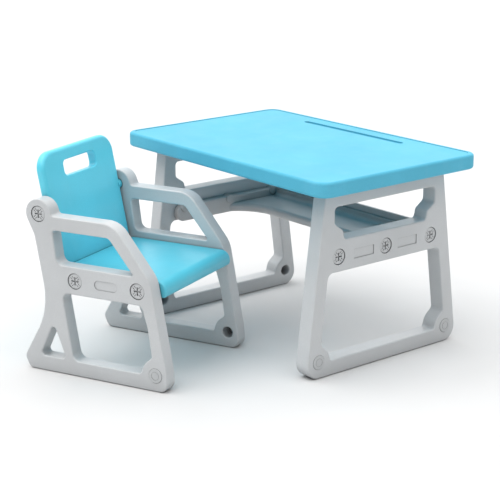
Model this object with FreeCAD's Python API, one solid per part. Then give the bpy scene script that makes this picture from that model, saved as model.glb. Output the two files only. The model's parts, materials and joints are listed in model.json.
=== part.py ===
import FreeCAD, Part
import math
import os

# Kids' table and chair in blow-moulded plastic, millimetres.
# Table frame of reference while building: X along the table's long side, Y to the table's back,
# Z up, floor at 0, table centre at the origin. The chair is built the same way: X to the sitter's
# right, Y forward, Z up, and is then turned and moved to where it stands.

os.makedirs("parts", exist_ok=True)

# ---------------------------------------------------------------- driving sizes
TOP_LENGTH = 660.0
TOP_DEPTH = 428.0
TABLE_HEIGHT = 412.0
TOP_THICK = 31.5
TOP_CORNER = 29.0
OVERHANG = 49.0
TABLE_FRAME_THICK = 37.0
TRAY_HALF_DEPTH = 146.0
TRAY_BOTTOM = 211.0
TRAY_FLOOR = 231.0
TRAY_RIM = 249.0

CHAIR_WIDTH = 320.0
CHAIR_FRAME_THICK = 32.0
SEAT_TOP = 214.0
SEAT_THICK = 32.0
ARM_TOP = 325.5
BACK_THICK = 20.0
BACK_TILT = 11.3
BACK_TOP = 436.5

WALL = 2.6
EDGE = 3.2
SCREW_HEAD_R = 15.6
SCREW_HEAD_H = 4.0
SCREW_SUNK = 1.5
HEAD_GAP = 1.0
SCREW_SHANK_R = 6.0
SCREW_GRIP = 15.0
SOCKET_R = SCREW_SHANK_R + 0.1
CAP_R = 14.6
FOOT_HOLE_R = 12.0
RECESS_DEEP = 1.6

CHAIR_TURN = 66.94
CHAIR_X = -31.6
CHAIR_Y = -363.5
SET_SHIFT_Y = 187.0

FRAME_OUT = TOP_LENGTH / 2 - OVERHANG
FRAME_IN = FRAME_OUT - TABLE_FRAME_THICK
UNDER_TOP = TABLE_HEIGHT - TOP_THICK
CHAIR_OUT = CHAIR_WIDTH / 2
CHAIR_IN = CHAIR_OUT - CHAIR_FRAME_THICK


# ---------------------------------------------------------------- drawing helpers
def rounded(corners):
    """Closed wire in XY through corner points (x, y, radius), each rounded by a tangent arc."""
    n = len(corners)
    arcs = []
    for i in range(n):
        x, y, r = corners[i]
        px, py, _ = corners[i - 1]
        qx, qy, _ = corners[(i + 1) % n]
        la = math.hypot(px - x, py - y)
        lb = math.hypot(qx - x, qy - y)
        ax, ay = (px - x) / la, (py - y) / la
        bx, by = (qx - x) / lb, (qy - y) / lb
        half = math.acos(max(-1.0, min(1.0, ax * bx + ay * by))) / 2
        t = r / math.tan(half)
        mx, my = ax + bx, ay + by
        ml = math.hypot(mx, my)
        d = r / math.sin(half)
        start = FreeCAD.Vector(x + ax * t, y + ay * t, 0)
        end = FreeCAD.Vector(x + bx * t, y + by * t, 0)
        mid = FreeCAD.Vector(x + mx / ml * (d - r), y + my / ml * (d - r), 0)
        arcs.append((start, mid, end))
    edges = []
    for i in range(n):
        start, mid, end = arcs[i]
        edges.append(Part.Arc(start, mid, end).toShape())
        following = arcs[(i + 1) % n][0]
        if end.distanceToPoint(following) > 1e-4:
            edges.append(Part.makeLine(end, following))
        elif i + 1 < n:
            arcs[i + 1] = (end, arcs[i + 1][1], arcs[i + 1][2])
    return Part.Wire(edges)


def bearing(point, centre, radius, side):
    """Angle on the circle where a line from the point touches it; side is +1 or -1."""
    dx, dy = point[0] - centre[0], point[1] - centre[1]
    return math.degrees(math.atan2(dy, dx) + side * math.acos(radius / math.hypot(dx, dy)))


def wrap(centre, radius, a0, a1, pieces):
    """Corner points that carry an outline round a circle from angle a0 to a1 (degrees)."""
    step = (a1 - a0) / pieces
    out = []
    for k in range(pieces):
        a = math.radians(a0 + (k + 0.5) * step)
        d = radius / math.cos(math.radians(step / 2))
        out.append((centre[0] + d * math.cos(a), centre[1] + d * math.sin(a), radius))
    return out


def plate(outer, holes, low, high):
    """Flat plate in XY between two levels, with openings."""
    face = Part.Face(outer)
    for hole in holes:
        face = face.cut(Part.Face(hole)).Faces[0]
    solid = face.extrude(FreeCAD.Vector(0, 0, high - low))
    return face, solid.translated(FreeCAD.Vector(0, 0, low))


def soften(solid, levels, radius):
    """Round every edge that lies wholly in one of the given levels."""
    picked = []
    for e in solid.Edges:
        box = e.BoundBox
        for z in levels:
            if abs(box.ZMin - z) < 1e-4 and abs(box.ZMax - z) < 1e-4:
                picked.append(e)
    return solid.makeFillet(radius, picked)


def disc(x, y, low, high, radius):
    """Upright cylinder in the drawing plane."""
    return Part.makeCylinder(radius, high - low, FreeCAD.Vector(x, y, low))


def block(x0, x1, y0, y1, z0, z1):
    """Square block between three pairs of limits."""
    return Part.makeBox(x1 - x0, y1 - y0, z1 - z0, FreeCAD.Vector(x0, y0, z0))


def hollow(solid, face, low, high, kept, inset=WALL):
    """Take the air space out of a moulded plate, leaving the wall and the kept posts."""
    inner = face.makeOffset2D(-inset)
    core = inner.extrude(FreeCAD.Vector(0, 0, high - low - 2 * WALL))
    core = core.translated(FreeCAD.Vector(0, 0, low + WALL))
    for post in kept:
        core = core.cut(post)
    return solid.cut(core)


# drawing plane -> upright side plate: x runs to Y, y runs to Z, thickness runs to X
UPRIGHT = FreeCAD.Matrix(0, 0, 1, 0, 1, 0, 0, 0, 0, 1, 0, 0, 0, 0, 0, 1)


def upright(shape):
    """Stand a drawn plate up as a side plate."""
    out = shape.copy()
    out.Placement = FreeCAD.Placement(UPRIGHT).multiply(out.Placement)
    return out


def flipped(shape):
    """The mirror twin across the plane X = 0."""
    return shape.mirror(FreeCAD.Vector(0, 0, 0), FreeCAD.Vector(1, 0, 0))


def moved(shape, x, y, z):
    return shape.translated(FreeCAD.Vector(x, y, z))


def on_floor_plan(shape):
    """Shift the table group so the whole set is centred on the origin."""
    return moved(shape, 0, SET_SHIFT_Y, 0)


def chair_place(shape):
    """Turn and move a chair piece from its own frame to where the chair stands."""
    turned = shape.rotated(FreeCAD.Vector(0, 0, 0), FreeCAD.Vector(0, 0, 1), -CHAIR_TURN)
    return moved(turned, CHAIR_X, CHAIR_Y + SET_SHIFT_Y, 0)


def save(name, shape):
    shape.exportStep("parts/" + name + ".step")


# ---------------------------------------------------------------- side frames
def shallow_recess(x, y, length, height, corner, face_level, depth):
    """Tool for a shallow moulded recess in the outer face."""
    a, b = length / 2, height / 2
    pts = [(x - a, y - b, corner), (x + a, y - b, corner), (x + a, y + b, corner), (x - a, y + b, corner)]
    face, tool = plate(rounded(pts), [], face_level - depth, face_level + 2)
    return tool


def side_frame(outer, holes, thick, screws, recesses, foot_holes, top_screws):
    """One moulded side frame, inner face at level 0 and outer face at level `thick`."""
    face, body = plate(outer, holes, 0, thick)
    body = soften(body, (0, thick), EDGE)
    posts = []
    for (x, y) in screws:
        posts.append(disc(x, y, thick - SCREW_SUNK - SCREW_HEAD_H - 3, thick, SCREW_HEAD_R + HEAD_GAP + WALL))
        posts.append(disc(x, y, 0, thick, SCREW_SHANK_R + WALL))
    for (x, y, length, height, corner) in recesses:
        a, b = length / 2 + WALL, height / 2 + WALL
        posts.append(block(x - a, x + a, y - b, y + b, thick - WALL - 2, thick))
    for (x, y) in foot_holes:
        posts.append(disc(x, y, 0, thick, CAP_R + WALL))
    for (x, y0, y1) in top_screws:
        posts.append(block(x - 8, x + 8, y0, y1, thick / 2 - 8, thick / 2 + 8))
    body = hollow(body, face, 0, thick, posts)
    for (x, y) in screws:
        body = body.cut(disc(x, y, thick - SCREW_SUNK - SCREW_HEAD_H, thick + 2, SCREW_HEAD_R + HEAD_GAP))
        body = body.cut(disc(x, y, -1, thick, SCREW_SHANK_R + 0.3))
    for (x, y, length, height, corner) in recesses:
        body = body.cut(shallow_recess(x, y, length, height, corner, thick, RECESS_DEEP))
    for (x, y) in foot_holes:
        body = body.cut(disc(x, y, -1, thick + 1, FOOT_HOLE_R))
        body = body.cut(disc(x, y, thick - 2.0, thick + 1, CAP_R + 0.5))
        chamfer = Part.makeCone(FOOT_HOLE_R + 1.6, FOOT_HOLE_R, 1.6, FreeCAD.Vector(x, y, 0))
        body = body.cut(chamfer)
    return body


# table side frame: drawing x is the table's depth, drawing y is height
FOOT_X = 178.0
FOOT_Y = 34.8
TABLE_SCREW_Y = 243.3
TABLE_SCREWS = [(-127.0, TABLE_SCREW_Y), (0.0, TABLE_SCREW_Y), (127.0, TABLE_SCREW_Y)]


def both_sides(half):
    """Right half of an outline, listed bottom to top, joined to its mirror image."""
    return half + [(-x, y, r) for (x, y, r) in reversed(half)]


table_outer = rounded(both_sides([(211.8, 0.0, 31.0), (161.3, UNDER_TOP, 4.0)]))
upper_gap = rounded(both_sides([
    (112.0, 277.0, 8.0),
    (116.0, 296.0, 12.0),
    (138.0, 311.0, 10.0),
    (138.0, 345.0, 9.0),
]))
foot = (FOOT_X, FOOT_Y)
corner_low = (146.5, 32.0)
corner_high = (171.9, 69.0)
lower_gap = rounded(both_sides(
    [(corner_low[0], corner_low[1], 6.0)]
    + wrap(foot, 30.0, bearing(corner_low, foot, 30.0, -1), bearing(corner_high, foot, 30.0, 1), 1)
    + [(corner_high[0], corner_high[1], 8.0), (153.4, 212.0, 14.0)]
))
TOP_SCREW_AT = 92.0
table_frame = side_frame(
    table_outer,
    [upper_gap, lower_gap],
    TABLE_FRAME_THICK,
    TABLE_SCREWS,
    [(-60.0, 242.5, 54.0, 20.0, 1.5), (60.0, 242.5, 54.0, 20.0, 1.5)],
    [(-FOOT_X, FOOT_Y), (FOOT_X, FOOT_Y)],
    [(-TOP_SCREW_AT, 345.0, UNDER_TOP), (TOP_SCREW_AT, 345.0, UNDER_TOP)],
)
table_frame = moved(upright(table_frame), FRAME_IN, 0, 0)
STEEL_R = 2.4
STEEL_X = FRAME_IN + TABLE_FRAME_THICK / 2
for y in (-TOP_SCREW_AT, TOP_SCREW_AT):
    table_frame = table_frame.cut(disc(STEEL_X, y, 340, UNDER_TOP + 1, STEEL_R + 0.3))
    sink = Part.makeCone(6.0, STEEL_R, 3.6, FreeCAD.Vector(STEEL_X, y, 345.0))
    table_frame = table_frame.cut(sink)
save("table_right_frame", on_floor_plan(table_frame))
save("table_left_frame", on_floor_plan(flipped(table_frame)))


# ---------------------------------------------------------------- screws and caps
CROSS_HALF = 8.4
CROSS_WIDE = 3.0
CROSS_DEEP = 2.6
DASH_FROM = 6.4
DASH_TO = 12.2
DASH_WIDE = 1.4
DASH_DEEP = 1.2
DASH_APART = 4.4


def big_screw(thick):
    """Plastic screw: broad head with a cross, sunk a little below the outer face, and a plain shank."""
    top = thick - SCREW_SUNK
    base = top - SCREW_HEAD_H
    head = disc(0, 0, base, top, SCREW_HEAD_R)
    head = soften(head, (top,), 1.0)
    shank = disc(0, 0, -SCREW_GRIP, base, SCREW_SHANK_R)
    shank = shank.makeChamfer(1.5, [e for e in shank.Edges if e.BoundBox.ZMax < -SCREW_GRIP + 0.01])
    screw = head.fuse(shank)
    arm, half = CROSS_HALF, CROSS_WIDE / 2
    for (a, b) in ((arm, half), (half, arm)):
        screw = screw.cut(block(-a, a, -b, b, top - CROSS_DEEP, top + 2))
    for k in range(4):
        for offset in (-DASH_APART / 2, DASH_APART / 2):
            low, high = offset - DASH_WIDE / 2, offset + DASH_WIDE / 2
            dash = block(DASH_FROM, DASH_TO, low, high, top - DASH_DEEP, top + 2)
            screw = screw.cut(dash.rotated(FreeCAD.Vector(0, 0, 0), FreeCAD.Vector(0, 0, 1), 45 + 90 * k))
    return screw


def leg_cap(thick):
    """Round plug that closes the foot hole from outside: low domed head, ribbed plug, hollow middle."""
    head = disc(0, 0, thick - 2.0, thick + 1.2, CAP_R)
    head = soften(head, (thick + 1.2,), 1.1)
    plug = disc(0, 0, thick - 11.0, thick - 2.0, FOOT_HOLE_R - 0.1)
    cap = head.fuse(plug)
    cap = cap.cut(disc(0, 0, thick - 12.0, thick - 3.2, FOOT_HOLE_R - 2.1))
    ring = disc(0, 0, thick + 0.7, thick + 3, 8.6).cut(disc(0, 0, thick + 0.7, thick + 3, 7.6))
    return cap.cut(ring)


screw_blank = big_screw(TABLE_FRAME_THICK)
names = ("front", "middle", "back")
for k in range(3):
    y, z = TABLE_SCREWS[k]
    piece = upright(screw_blank.translated(FreeCAD.Vector(y, z, 0)))
    piece = moved(piece, FRAME_IN, 0, 0)
    save("tray_screw_right_" + names[k], on_floor_plan(piece))
    save("tray_screw_left_" + names[k], on_floor_plan(flipped(piece)))

cap_blank = leg_cap(TABLE_FRAME_THICK)
for (label, y) in (("front", -FOOT_X), ("back", FOOT_X)):
    piece = upright(cap_blank.translated(FreeCAD.Vector(y, FOOT_Y, 0)))
    piece = moved(piece, FRAME_IN, 0, 0)
    save("table_cap_right_" + label, on_floor_plan(piece))
    save("table_cap_left_" + label, on_floor_plan(flipped(piece)))


STEEL_TIP = UNDER_TOP + 13.0
steel = disc(0, 0, 345.0 + 2.0, STEEL_TIP, STEEL_R)
steel = steel.fuse(Part.makeCone(4.7, STEEL_R, 2.3, FreeCAD.Vector(0, 0, 345.0 + 0.8)))
steel = steel.cut(block(-2.6, 2.6, -0.6, 0.6, 345.0, 345.0 + 2.0))
steel = steel.cut(block(-0.6, 0.6, -2.6, 2.6, 345.0, 345.0 + 2.0))
for (side, x) in (("left", -STEEL_X), ("right", STEEL_X)):
    for (label, y) in (("front", -TOP_SCREW_AT), ("back", TOP_SCREW_AT)):
        save("top_screw_" + side + "_" + label, on_floor_plan(moved(steel, x, y, 0)))


# ---------------------------------------------------------------- tabletop
def box_outline(x0, x1, y0, y1, r):
    return rounded([(x0, y0, r), (x1, y0, r), (x1, y1, r), (x0, y1, r)])


HALF_L = TOP_LENGTH / 2
HALF_D = TOP_DEPTH / 2
RIM = 11.0
PANEL_DROP = 0.9
TOP_EDGE = 6.0
top_outline = box_outline(-HALF_L, HALF_L, -HALF_D, HALF_D, TOP_CORNER)
top_face, tabletop = plate(top_outline, [], UNDER_TOP, TABLE_HEIGHT)
tabletop = soften(tabletop, (UNDER_TOP, TABLE_HEIGHT), TOP_EDGE)

GROOVE_Y = 163.0
GROOVE_HALF = 156.5
GROOVE_R = 7.0
GROOVE_DEEP = 6.0
posts = [block(-GROOVE_HALF - 3, GROOVE_HALF + 3, GROOVE_Y - 10, GROOVE_Y + 10,
               TABLE_HEIGHT - GROOVE_DEEP - WALL - 1, TABLE_HEIGHT)]
for x in (-STEEL_X, STEEL_X):
    for y in (-TOP_SCREW_AT, TOP_SCREW_AT):
        posts.append(disc(x, y, UNDER_TOP, UNDER_TOP + 18, 7.0))
tabletop = hollow(tabletop, top_face, UNDER_TOP, TABLE_HEIGHT - PANEL_DROP, posts, TOP_EDGE)
panel = box_outline(-HALF_L + RIM, HALF_L - RIM, -HALF_D + RIM, HALF_D - RIM, 20.0)
panel_face, panel_tool = plate(panel, [], TABLE_HEIGHT - PANEL_DROP, TABLE_HEIGHT + 2)
tabletop = tabletop.cut(panel_tool)
groove = box_outline(-GROOVE_HALF, GROOVE_HALF, GROOVE_Y - GROOVE_R, GROOVE_Y + GROOVE_R, GROOVE_R - 0.01)
groove_face, groove_tool = plate(groove, [], TABLE_HEIGHT - GROOVE_DEEP, TABLE_HEIGHT + 2)
groove_tool = soften(groove_tool, (TABLE_HEIGHT - GROOVE_DEEP,), 3.0)
tabletop = tabletop.cut(groove_tool)
for x in (-STEEL_X, STEEL_X):
    for y in (-TOP_SCREW_AT, TOP_SCREW_AT):
        tabletop = tabletop.cut(disc(x, y, UNDER_TOP - 1, STEEL_TIP + 0.5, STEEL_R))
save("tabletop", on_floor_plan(tabletop))


# ---------------------------------------------------------------- storage tray
RAIL = 14.0
RAIL_IN = FRAME_IN - RAIL
KNEE_Y = 48.0
KNEE_X = RAIL_IN + 11.0
KNEE_R = 93.0
LEDGE_Z = 247.0
LEDGE_DEEP = 6.0
BACK_WALL_Z = 261.5
BACK_WALL_Y = 135.0
SLAB_EDGE = 8.0

slab_outline = rounded([
    (RAIL_IN + 1, -1.0, 0.5),
    (RAIL_IN + 1, TRAY_HALF_DEPTH - 2, 3.0),
    (-RAIL_IN - 1, TRAY_HALF_DEPTH - 2, 3.0),
    (-RAIL_IN - 1, -1.0, 0.5),
])
knee = rounded([
    (-KNEE_X, -300.0, 5.0),
    (KNEE_X, -300.0, 5.0),
    (KNEE_X, KNEE_Y, KNEE_R),
    (-KNEE_X, KNEE_Y, KNEE_R),
])
slab_face = Part.Face(slab_outline).cut(Part.Face(knee)).Faces[0]
slab = slab_face.extrude(FreeCAD.Vector(0, 0, TRAY_FLOOR - TRAY_BOTTOM))
slab = moved(slab, 0, 0, TRAY_BOTTOM)
front_edges = []
for e in slab.Edges:
    box = e.BoundBox
    level = abs(box.ZMax - box.ZMin) < 1e-4
    if level and box.YMax < KNEE_Y + 1 and box.YLength > -1 and box.XLength > 1.5:
        front_edges.append(e)
slab = slab.makeFillet(SLAB_EDGE, front_edges)
air = slab_face.makeOffset2D(-5.0).extrude(FreeCAD.Vector(0, 0, TRAY_FLOOR - TRAY_BOTTOM - 2 * WALL))
slab = slab.cut(moved(air, 0, 0, TRAY_BOTTOM + WALL))

back_wall = block(-RAIL_IN - 1, RAIL_IN + 1, BACK_WALL_Y, TRAY_HALF_DEPTH, TRAY_FLOOR - 4, LEDGE_Z)
back_top = block(-RAIL_IN - 1, RAIL_IN + 1, BACK_WALL_Y + LEDGE_DEEP, TRAY_HALF_DEPTH, LEDGE_Z - 1, BACK_WALL_Z)
tray = slab.fuse([back_wall, back_top])


def cove(length, radius):
    """Strip with a hollow quarter-round face, running along X, corner at the origin, filling -Y/+Z."""
    strip = block(0, length, -radius, 0, 0, radius)
    tool = Part.makeCylinder(radius, length + 2, FreeCAD.Vector(-1, -radius, radius), FreeCAD.Vector(1, 0, 0))
    return strip.cut(tool)


COVE = 14.0
tray = tray.fuse(moved(cove(2 * RAIL_IN, 9.0), -RAIL_IN, BACK_WALL_Y, TRAY_FLOOR))
run = BACK_WALL_Y - 12.0
side_cove = cove(run, COVE).rotated(FreeCAD.Vector(0, 0, 0), FreeCAD.Vector(0, 0, 1), -90)
side_cove = moved(side_cove, -RAIL_IN, BACK_WALL_Y, TRAY_FLOOR)
for strip in (side_cove, flipped(side_cove)):
    tray = tray.fuse(strip)

rail_outline = rounded([
    (-TRAY_HALF_DEPTH, TRAY_BOTTOM, 18.9),
    (TRAY_HALF_DEPTH, TRAY_BOTTOM, 8.0),
    (TRAY_HALF_DEPTH, TRAY_RIM, 8.0),
    (-TRAY_HALF_DEPTH, TRAY_RIM, 18.9),
])
rail_face, rail = plate(rail_outline, [], 0, RAIL)
rail = soften(rail, (0,), 4.0)
for (y, z) in TABLE_SCREWS:
    boss = disc(y, z, -3.0, RAIL, 9.5)
    rail = rail.fuse(soften(boss, (-3.0,), 2.0))
rail = moved(upright(rail), RAIL_IN, 0, 0)
tray = tray.fuse([rail, flipped(rail)])
sockets = []
for (y, z) in TABLE_SCREWS:
    socket = disc(y, z, RAIL - SCREW_GRIP - 0.5, RAIL + 1, SOCKET_R)
    socket = moved(upright(socket), RAIL_IN, 0, 0)
    sockets.append(socket)
    sockets.append(flipped(socket))
tray = tray.cut(Part.makeCompound(sockets))
save("storage_tray", on_floor_plan(tray))


# ---------------------------------------------------------------- chair side frames
LUG = (-153.7, 326.6)
LUG_R = 30.0
CHAIR_SCREW_Z = 199.0
CHAIR_SCREWS = [(-72.2, CHAIR_SCREW_Z), (72.2, CHAIR_SCREW_Z)]
CHAIR_FOOT = (109.3, 33.2)
arm_meets_lug = (-121.5, ARM_TOP)
neck = (-165.5, 283.0)

chair_outer = rounded(
    [
        (-190.0, 0.0, 14.0),
        (136.5, 0.0, 18.0),
        (133.0, 45.0, 150.0),
        (101.6, 222.5, 60.0),
        (20.2, ARM_TOP, 50.0),
        (arm_meets_lug[0], arm_meets_lug[1], 6.0),
    ]
    + wrap(LUG, LUG_R, bearing(arm_meets_lug, LUG, LUG_R, 1), bearing(neck, LUG, LUG_R, -1) + 360, 3)
    + [
        (neck[0], neck[1], 30.0),
        (-139.1, 132.9, 150.0),
        (-202.0, 25.0, 16.0),
    ]
)
arm_gap = rounded([(-114.0, 228.0, 15.0), (65.0, 228.0, 3.0), (9.2, 296.5, 14.0), (-122.5, 296.5, 6.0)])
low_in = (75.5, 32.0)
low_out = (101.3, 68.0)
leg_gap = rounded(
    [(-81.7, 32.0, 16.0), (low_in[0], low_in[1], 6.0)]
    + wrap(CHAIR_FOOT, 32.0, bearing(low_in, CHAIR_FOOT, 32.0, -1), bearing(low_out, CHAIR_FOOT, 32.0, 1), 1)
    + [(low_out[0], low_out[1], 8.0), (93.0, 128.0, 60.0), (80.5, 170.5, 14.0), (-105.0, 170.5, 14.0)]
)
heel_gap = rounded([(-163.0, 32.0, 7.0), (-100.0, 32.0, 7.0), (-128.0, 104.0, 6.0)])
chair_frame = side_frame(
    chair_outer,
    [arm_gap, leg_gap, heel_gap],
    CHAIR_FRAME_THICK,
    CHAIR_SCREWS + [LUG],
    [(0.0, 198.6, 53.0, 19.5, 9.7)],
    [CHAIR_FOOT],
    [],
)
LUG_POCKET = 1.5
chair_frame = chair_frame.cut(disc(LUG[0], LUG[1], -1, LUG_POCKET, 12.0))
chair_frame = moved(upright(chair_frame), CHAIR_IN, 0, 0)
save("chair_right_frame", chair_place(chair_frame))
save("chair_left_frame", chair_place(flipped(chair_frame)))

chair_screw = big_screw(CHAIR_FRAME_THICK)
for (label, (y, z)) in (("seat_screw_{}_back", CHAIR_SCREWS[0]), ("seat_screw_{}_front", CHAIR_SCREWS[1]),
                        ("backrest_screw_{}", LUG)):
    piece = upright(chair_screw.translated(FreeCAD.Vector(y, z, 0)))
    piece = moved(piece, CHAIR_IN, 0, 0)
    save(label.format("right"), chair_place(piece))
    save(label.format("left"), chair_place(flipped(piece)))

chair_cap = leg_cap(CHAIR_FRAME_THICK).translated(FreeCAD.Vector(CHAIR_FOOT[0], CHAIR_FOOT[1], 0))
chair_cap = moved(upright(chair_cap), CHAIR_IN, 0, 0)
save("chair_cap_right", chair_place(chair_cap))
save("chair_cap_left", chair_place(flipped(chair_cap)))


# ---------------------------------------------------------------- seat
SLOPE = math.tan(math.radians(BACK_TILT))
BACK_FACE_Y = -145.5


def back_face(z):
    """Forward position of the backrest's front face at a height."""
    return BACK_FACE_Y - SLOPE * (z - LUG[1])


SEAT_LOW = SEAT_TOP - SEAT_THICK
seat_outline = rounded([
    (back_face(SEAT_LOW) + 1.0, SEAT_LOW, 5.0),
    (117.5, SEAT_LOW, 9.0),
    (119.5, SEAT_TOP, 20.0),
    (back_face(SEAT_TOP) + 1.0, SEAT_TOP, 3.0),
])
seat_face, seat = plate(seat_outline, [], -CHAIR_IN, CHAIR_IN)
seat = soften(seat, (-CHAIR_IN, CHAIR_IN), 3.0)
posts = []
sockets = []
for (y, z) in CHAIR_SCREWS:
    for s in (-1, 1):
        near = s * (CHAIR_IN - SCREW_GRIP - 4)
        far = s * CHAIR_IN
        posts.append(disc(y, z, min(near, far), max(near, far), SOCKET_R + 3))
        deep = s * (CHAIR_IN - SCREW_GRIP - 0.5)
        out = s * (CHAIR_IN + 1)
        sockets.append(disc(y, z, min(deep, out), max(deep, out), SOCKET_R))
seat = hollow(seat, seat_face, -CHAIR_IN, CHAIR_IN, posts)
seat = seat.cut(Part.makeCompound(sockets))
save("seat", chair_place(upright(seat)))


# ---------------------------------------------------------------- backrest
BACK_HALF = 125.0
BACK_CORNER = 37.0
BACK_LOW_Z = 192.0
FRONT_ROUND = 7.5
REAR_ROUND = 7.0
cosine = math.cos(math.radians(BACK_TILT))
top_s = (BACK_TOP - LUG[1] + 1.6) / cosine
low_s = (BACK_LOW_Z - LUG[1]) / cosine
slot_low = (381.0 - LUG[1]) / cosine
slot_high = (412.5 - LUG[1]) / cosine
back_outline = rounded([
    (-BACK_HALF, low_s, 10.0),
    (BACK_HALF, low_s, 10.0),
    (BACK_HALF, top_s, BACK_CORNER),
    (-BACK_HALF, top_s, BACK_CORNER),
])
slot = box_outline(-56.0, 56.0, slot_low, slot_high, 10.0)
blank_face, backrest = plate(back_outline, [], 0, BACK_THICK)
backrest = soften(backrest, (0,), FRONT_ROUND)
backrest = soften(backrest, (BACK_THICK,), REAR_ROUND)
slot_face, slot_tool = plate(slot, [], -1, BACK_THICK + 1)
backrest = backrest.cut(slot_tool)
slot_edges = []
for e in backrest.Edges:
    box = e.BoundBox
    flat = box.ZLength < 1e-4 and (abs(box.ZMin) < 1e-4 or abs(box.ZMin - BACK_THICK) < 1e-4)
    if flat and box.XMax < 56.1 and box.XMin > -56.1 and box.YMin > slot_low - 0.1 and box.YMax < slot_high + 0.1:
        slot_edges.append(e)
backrest = backrest.makeFillet(2.5, slot_edges)
BOSS_LEVEL = (BACK_FACE_Y - LUG[0]) * cosine
BOSS_S = (BACK_FACE_Y - LUG[0]) * math.sin(math.radians(BACK_TILT))
BOSS_END = CHAIR_IN + LUG_POCKET
around_slot = box_outline(-56.0 - WALL, 56.0 + WALL, slot_low - WALL, slot_high + WALL, 12.0)
slot_rim, slot_post = plate(around_slot, [], 0, BACK_THICK)
boss = Part.makeCylinder(10.0, BOSS_END - 117.0, FreeCAD.Vector(117.0, BOSS_S, BOSS_LEVEL), FreeCAD.Vector(1, 0, 0))
core_post = Part.makeCylinder(9.2, 20.0, FreeCAD.Vector(106.0, BOSS_S, BOSS_LEVEL), FreeCAD.Vector(1, 0, 0))
backrest = hollow(backrest, blank_face, 0, BACK_THICK, [slot_post, core_post, flipped(core_post)], 7.0)
backrest = backrest.fuse([boss, flipped(boss)])
socket_at = CHAIR_IN - SCREW_GRIP - 0.5
socket = Part.makeCylinder(SOCKET_R, 30.0, FreeCAD.Vector(socket_at, BOSS_S, BOSS_LEVEL), FreeCAD.Vector(1, 0, 0))
backrest = backrest.cut(Part.makeCompound([socket, flipped(socket)]))
backrest = backrest.rotated(FreeCAD.Vector(0, 0, 0), FreeCAD.Vector(1, 0, 0), 90 + BACK_TILT)
backrest = moved(backrest, 0, BACK_FACE_Y, LUG[1])
save("backrest", chair_place(backrest))
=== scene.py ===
import json
import math

import bpy
from mathutils import Matrix, Vector

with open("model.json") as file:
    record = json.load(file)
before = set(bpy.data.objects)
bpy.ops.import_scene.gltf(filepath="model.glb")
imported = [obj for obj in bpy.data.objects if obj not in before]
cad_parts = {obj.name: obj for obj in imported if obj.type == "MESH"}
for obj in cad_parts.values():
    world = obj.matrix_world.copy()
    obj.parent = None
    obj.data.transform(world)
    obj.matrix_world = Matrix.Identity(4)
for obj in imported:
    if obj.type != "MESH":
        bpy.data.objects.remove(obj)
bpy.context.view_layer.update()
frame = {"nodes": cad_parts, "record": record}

scene = bpy.context.scene
nodes = frame["nodes"]


# ------------------------------------------------------------------ node graphs
class Graph:
    """Shorthand for adding and linking nodes in one empty node tree."""

    def __init__(self, tree):
        self.tree = tree
        self.tree.nodes.clear()

    def add(self, kind, **settings):
        node = self.tree.nodes.new(kind)
        for key, value in settings.items():
            setattr(node, key, value)
        return node

    def link(self, source, target):
        self.tree.links.new(source, target)

    def feed(self, socket, value):
        """Link an output to the socket, or set a plain value on it."""
        if isinstance(value, bpy.types.NodeSocket):
            self.link(value, socket)
        else:
            socket.default_value = value

    def ramp(self, fac, low, high, start=0.3, end=0.7):
        """Smooth step from low to high while fac goes from start to end."""
        node = self.add("ShaderNodeMapRange", interpolation_type="SMOOTHSTEP")
        node.inputs["From Min"].default_value = start
        node.inputs["From Max"].default_value = end
        node.inputs["To Min"].default_value = low
        node.inputs["To Max"].default_value = high
        self.link(fac, node.inputs["Value"])
        return node.outputs["Result"]

    def maths(self, kind, a, b):
        node = self.add("ShaderNodeMath", operation=kind)
        self.feed(node.inputs[0], a)
        self.feed(node.inputs[1], b)
        return node.outputs["Value"]


class Surface(Graph):
    """A new material with one Principled shader, textured in object space."""

    def __init__(self, name):
        self.mat = bpy.data.materials.new(name)
        self.mat.use_nodes = True
        super().__init__(self.mat.node_tree)
        output = self.add("ShaderNodeOutputMaterial")
        self.bsdf = self.add("ShaderNodeBsdfPrincipled")
        self.link(self.bsdf.outputs["BSDF"], output.inputs["Surface"])
        self.coords = self.add("ShaderNodeTexCoord").outputs["Object"]

    def noise(self, scale, detail=2.0, rough=0.5, stretch=None):
        node = self.add("ShaderNodeTexNoise")
        node.inputs["Scale"].default_value = scale
        node.inputs["Detail"].default_value = detail
        node.inputs["Roughness"].default_value = rough
        source = self.coords
        if stretch:
            mapping = self.add("ShaderNodeMapping")
            mapping.inputs["Scale"].default_value = stretch
            self.link(source, mapping.inputs["Vector"])
            source = mapping.outputs["Vector"]
        self.link(source, node.inputs["Vector"])
        return node.outputs["Fac"]

    def painted_shade_mask(self, reach):
        """Mask for painted shade: 1 on open faces, falling towards 0 in joints and grooves narrower than the
        reach.
        """
        node = self.add("ShaderNodeAmbientOcclusion", samples=12)
        node.inputs["Distance"].default_value = reach
        return self.ramp(node.outputs["AO"], 0.0, 1.0, 0.2, 0.95)

    def mix(self, fac, a, b):
        """Colour a where fac is 0, colour b where it is 1."""
        node = self.add("ShaderNodeMix", data_type="RGBA")
        self.link(fac, node.inputs["Factor"])
        self.feed(node.inputs["A"], a)
        self.feed(node.inputs["B"], b)
        return node.outputs["Result"]

    def bump(self, height, distance, strength, under=None):
        """Surface normal with the height on it, laid over another bump if one is given."""
        node = self.add("ShaderNodeBump")
        node.inputs["Distance"].default_value = distance
        node.inputs["Strength"].default_value = strength
        self.link(height, node.inputs["Height"])
        if under:
            self.link(under, node.inputs["Normal"])
        return node.outputs["Normal"]


def srgb(r, g, b):
    """Linear colour from 0-255 display values."""
    def linear(c):
        c = c / 255
        return c / 12.92 if c <= 0.04045 else ((c + 0.055) / 1.055) ** 2.4
    return (linear(r), linear(g), linear(b), 1.0)


def shade(colour, k):
    """The colour made darker or lighter by a factor."""
    return tuple(min(1.0, c * k) for c in colour[:3]) + (1.0,)


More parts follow.
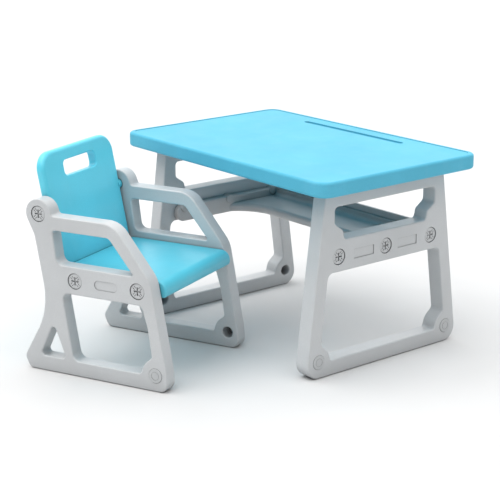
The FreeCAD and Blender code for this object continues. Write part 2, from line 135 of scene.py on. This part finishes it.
# ------------------------------------------------------------------ materials
# colours are linear; lengths are metres
TOP_BLUE = (0.108, 0.478, 0.655, 1.0)
SEAT_BLUE = (0.095, 0.540, 0.690, 1.0)
# painted light: the seat's blue made lighter for the backrest, which is the same plastic as the seat
BACKREST_LIT_BLUE = (0.125, 0.680, 0.860, 1.0)
GREY = (0.570, 0.588, 0.600, 1.0)
TRAY_GREY = (0.535, 0.515, 0.510, 1.0)

PEBBLE = 0.00012       # depth of the fine skin on the big mouldings
WAVE = 0.0006          # depth of their slow waviness
SMALL_PEBBLE = 0.00005
SMALL_WAVE = 0.0001
ROUGH_SWING = 0.03     # gloss varies by this much either way
CORNER_SHADE_REACH = 0.045   # painted shade: soft darkening where big faces meet
CORNER_SHADE_DARK = 0.72
GROOVE_SHADE_REACH = 0.004   # painted shade: strong darkening in joints, rings and marks
GROOVE_SHADE_DARK = 0.42
RUB_AMOUNT = 0.10
RUB_PALE = 0.28        # how far a rubbed patch goes towards pale grey
PALE_GREY = 0.8


def moulded(name, colour, rough, specular, pebble=PEBBLE, wave=WAVE):
    """Blow-moulded plastic: fine pebbled skin, slow waviness, faint mottling, pale rubbing, painted shade in
    corners and grooves.
    """
    g = Surface(name)
    slow = g.ramp(g.noise(7.0, 3.0, 0.55), 0.0, 1.0)
    cloudy = g.mix(slow, shade(colour, 0.95), shade(colour, 1.04))
    speck = g.ramp(g.noise(420.0, 1.0), 0.0, 1.0, 0.35, 0.65)
    base = g.mix(g.maths("MULTIPLY", speck, 0.35), cloudy, shade(colour, 0.93))
    rubbed = g.ramp(g.noise(30.0, 4.0, 0.6, stretch=(1.0, 1.0, 0.35)), 0.0, 1.0, 0.52, 0.80)
    pale = tuple((1 - RUB_PALE) * c + RUB_PALE * PALE_GREY for c in colour[:3]) + (1.0,)
    base = g.mix(g.maths("MULTIPLY", rubbed, RUB_AMOUNT), base, pale)
    # painted shade in corners where big faces meet, from ambient occlusion
    base = g.mix(g.painted_shade_mask(CORNER_SHADE_REACH), shade(colour, CORNER_SHADE_DARK), base)
    # painted shade in joints, rings and grooves, from ambient occlusion
    base = g.mix(g.painted_shade_mask(GROOVE_SHADE_REACH), shade(colour, GROOVE_SHADE_DARK), base)
    g.link(base, g.bsdf.inputs["Base Color"])
    gloss = g.ramp(g.noise(18.0, 3.0, 0.6), rough - ROUGH_SWING, rough + ROUGH_SWING)
    g.link(gloss, g.bsdf.inputs["Roughness"])
    g.bsdf.inputs["Specular IOR Level"].default_value = specular
    g.bsdf.inputs["IOR"].default_value = 1.5
    sway = g.bump(g.noise(24.0, 2.0, 0.5), wave, 0.6)
    skin = g.bump(g.noise(1100.0, 2.0, 0.6), pebble, 0.5, under=sway)
    g.link(skin, g.bsdf.inputs["Normal"])
    return g.mat


def zinc(name):
    """Plated steel with fine turning lines."""
    g = Surface(name)
    lines = g.ramp(g.noise(900.0, 2.0, 0.5, stretch=(1.0, 1.0, 0.05)), 0.0, 1.0)
    g.link(g.mix(lines, srgb(150, 152, 154), srgb(190, 192, 194)), g.bsdf.inputs["Base Color"])
    g.link(g.ramp(g.noise(60.0, 3.0), 0.28, 0.42), g.bsdf.inputs["Roughness"])
    g.bsdf.inputs["Metallic"].default_value = 1.0
    g.link(g.bump(lines, 0.00005, 1.0), g.bsdf.inputs["Normal"])
    return g.mat


def small_part(name, colour):
    """The smoother plastic of screws and caps."""
    return moulded(name, colour, 0.30, 0.5, SMALL_PEBBLE, SMALL_WAVE)


looks = {
    "tabletop_blue": moulded("tabletop_blue_plastic", TOP_BLUE, 0.44, 0.08),
    "seat_blue": moulded("seat_blue_plastic", SEAT_BLUE, 0.32, 0.5),
    "frame_grey": moulded("frame_grey_plastic", GREY, 0.33, 0.5),
    "tray_grey": moulded("tray_grey_plastic", TRAY_GREY, 0.34, 0.5),
    "screw_grey": small_part("screw_grey_plastic", shade(GREY, 0.97)),
    "cap_grey": small_part("cap_grey_plastic", shade(GREY, 0.92)),
    "steel": zinc("zinc_plated_steel"),
}
# the backrest gets a lighter copy of the seat plastic, painted light
backrest_lit_look = moulded("backrest_lit_blue_plastic", BACKREST_LIT_BLUE, 0.32, 0.5)
slot_of = {part["node"]: part["material_slot"] for part in frame["record"]["subparts"]}
for name, obj in nodes.items():
    obj.data.materials.clear()
    obj.data.materials.append(backrest_lit_look if name == "backrest" else looks[slot_of[name]])

# ------------------------------------------------------------------ floor and light
FLOOR_HALF = 30.0
FLOOR_DROP = 0.0005    # keeps the floor just clear of the feet
KEY_DIRECTION = (0.25, 0.45, -1.0)
KEY_SPREAD = 60.0      # degrees
KEY_POWER = 1.25
BACKDROP = (-0.777, 0.629, 0.0)   # from the set towards the white backdrop
BACKDROP_LIGHT = 1.3
CEILING = 1.62
NEAR_LOW = 0.04        # dim low down on the near side


def stage_floor():
    """Plain pale floor."""
    g = Surface("studio_floor")
    colour = g.mix(g.ramp(g.noise(3.0, 2.0), 0.0, 1.0), srgb(212, 212, 212), srgb(216, 216, 216))
    g.link(colour, g.bsdf.inputs["Base Color"])
    g.bsdf.inputs["Roughness"].default_value = 0.9
    g.bsdf.inputs["Specular IOR Level"].default_value = 0.1
    corners = [(x * FLOOR_HALF, y * FLOOR_HALF, 0) for (x, y) in ((-1, -1), (1, -1), (1, 1), (-1, 1))]
    mesh = bpy.data.meshes.new("studio_floor")
    mesh.from_pydata(corners, [], [(0, 1, 2, 3)])
    mesh.materials.append(g.mat)
    floor = bpy.data.objects.new("studio_floor", mesh)
    floor.location.z = -FLOOR_DROP
    scene.collection.objects.link(floor)


def sun(name, direction, spread, power):
    """Large soft light at a distance: even over the whole floor."""
    data = bpy.data.lights.new(name, "SUN")
    data.energy = power
    data.angle = math.radians(spread)
    lamp = bpy.data.objects.new(name, data)
    lamp.rotation_euler = Vector(direction).to_track_quat("-Z", "Y").to_euler()
    scene.collection.objects.link(lamp)


def studio_world():
    """White room: bright ceiling and backdrop, dim low down on the near side."""
    world = bpy.data.worlds.new("studio")
    world.use_nodes = True
    g = Graph(world.node_tree)
    direction = g.add("ShaderNodeTexCoord").outputs["Generated"]
    split = g.add("ShaderNodeSeparateXYZ")
    g.link(direction, split.inputs["Vector"])
    away = g.add("ShaderNodeVectorMath", operation="DOT_PRODUCT")
    away.inputs[1].default_value = BACKDROP
    g.link(direction, away.inputs[0])
    ceiling = g.ramp(split.outputs["Z"], NEAR_LOW, CEILING, 0.15, 0.85)
    backdrop = g.ramp(away.outputs["Value"], 0.0, BACKDROP_LIGHT, 0.1, 0.75)
    background = g.add("ShaderNodeBackground")
    background.inputs["Color"].default_value = (1, 1, 1, 1)
    g.link(g.maths("MAXIMUM", ceiling, backdrop), background.inputs["Strength"])
    output = g.add("ShaderNodeOutputWorld")
    g.link(background.outputs["Background"], output.inputs["Surface"])
    scene.world = world


stage_floor()
sun("key", KEY_DIRECTION, KEY_SPREAD, KEY_POWER)
studio_world()
scene.view_settings.view_transform = "Standard"
scene.view_settings.look = "None"

# ------------------------------------------------------------------ camera
AZIMUTH = 51.04        # degrees
ELEVATION = 15.89
ROLL = -0.24
EYE = (2.3382, -1.8126, 1.0590)
LENS = 106.18          # mm on a 36 mm sensor
SHIFT = (-0.0124, -0.0100)


def make_camera():
    """Camera at the photograph's viewing angle."""
    azimuth, elevation, roll = (math.radians(a) for a in (AZIMUTH, ELEVATION, ROLL))
    level = math.cos(elevation)
    back = Vector((math.sin(azimuth) * level, -math.cos(azimuth) * level, math.sin(elevation)))
    side = Vector((math.cos(azimuth), math.sin(azimuth), 0))
    right = side * math.cos(roll) + back.cross(side) * math.sin(roll)
    turn = Matrix((right, back.cross(right), back)).transposed().to_4x4()
    data = bpy.data.cameras.new("camera")
    data.sensor_width = 36.0
    data.lens = LENS
    data.shift_x, data.shift_y = SHIFT
    data.clip_end = 100
    camera = bpy.data.objects.new("camera", data)
    camera.matrix_world = Matrix.Translation(EYE) @ turn
    scene.collection.objects.link(camera)
    scene.camera = camera


make_camera()
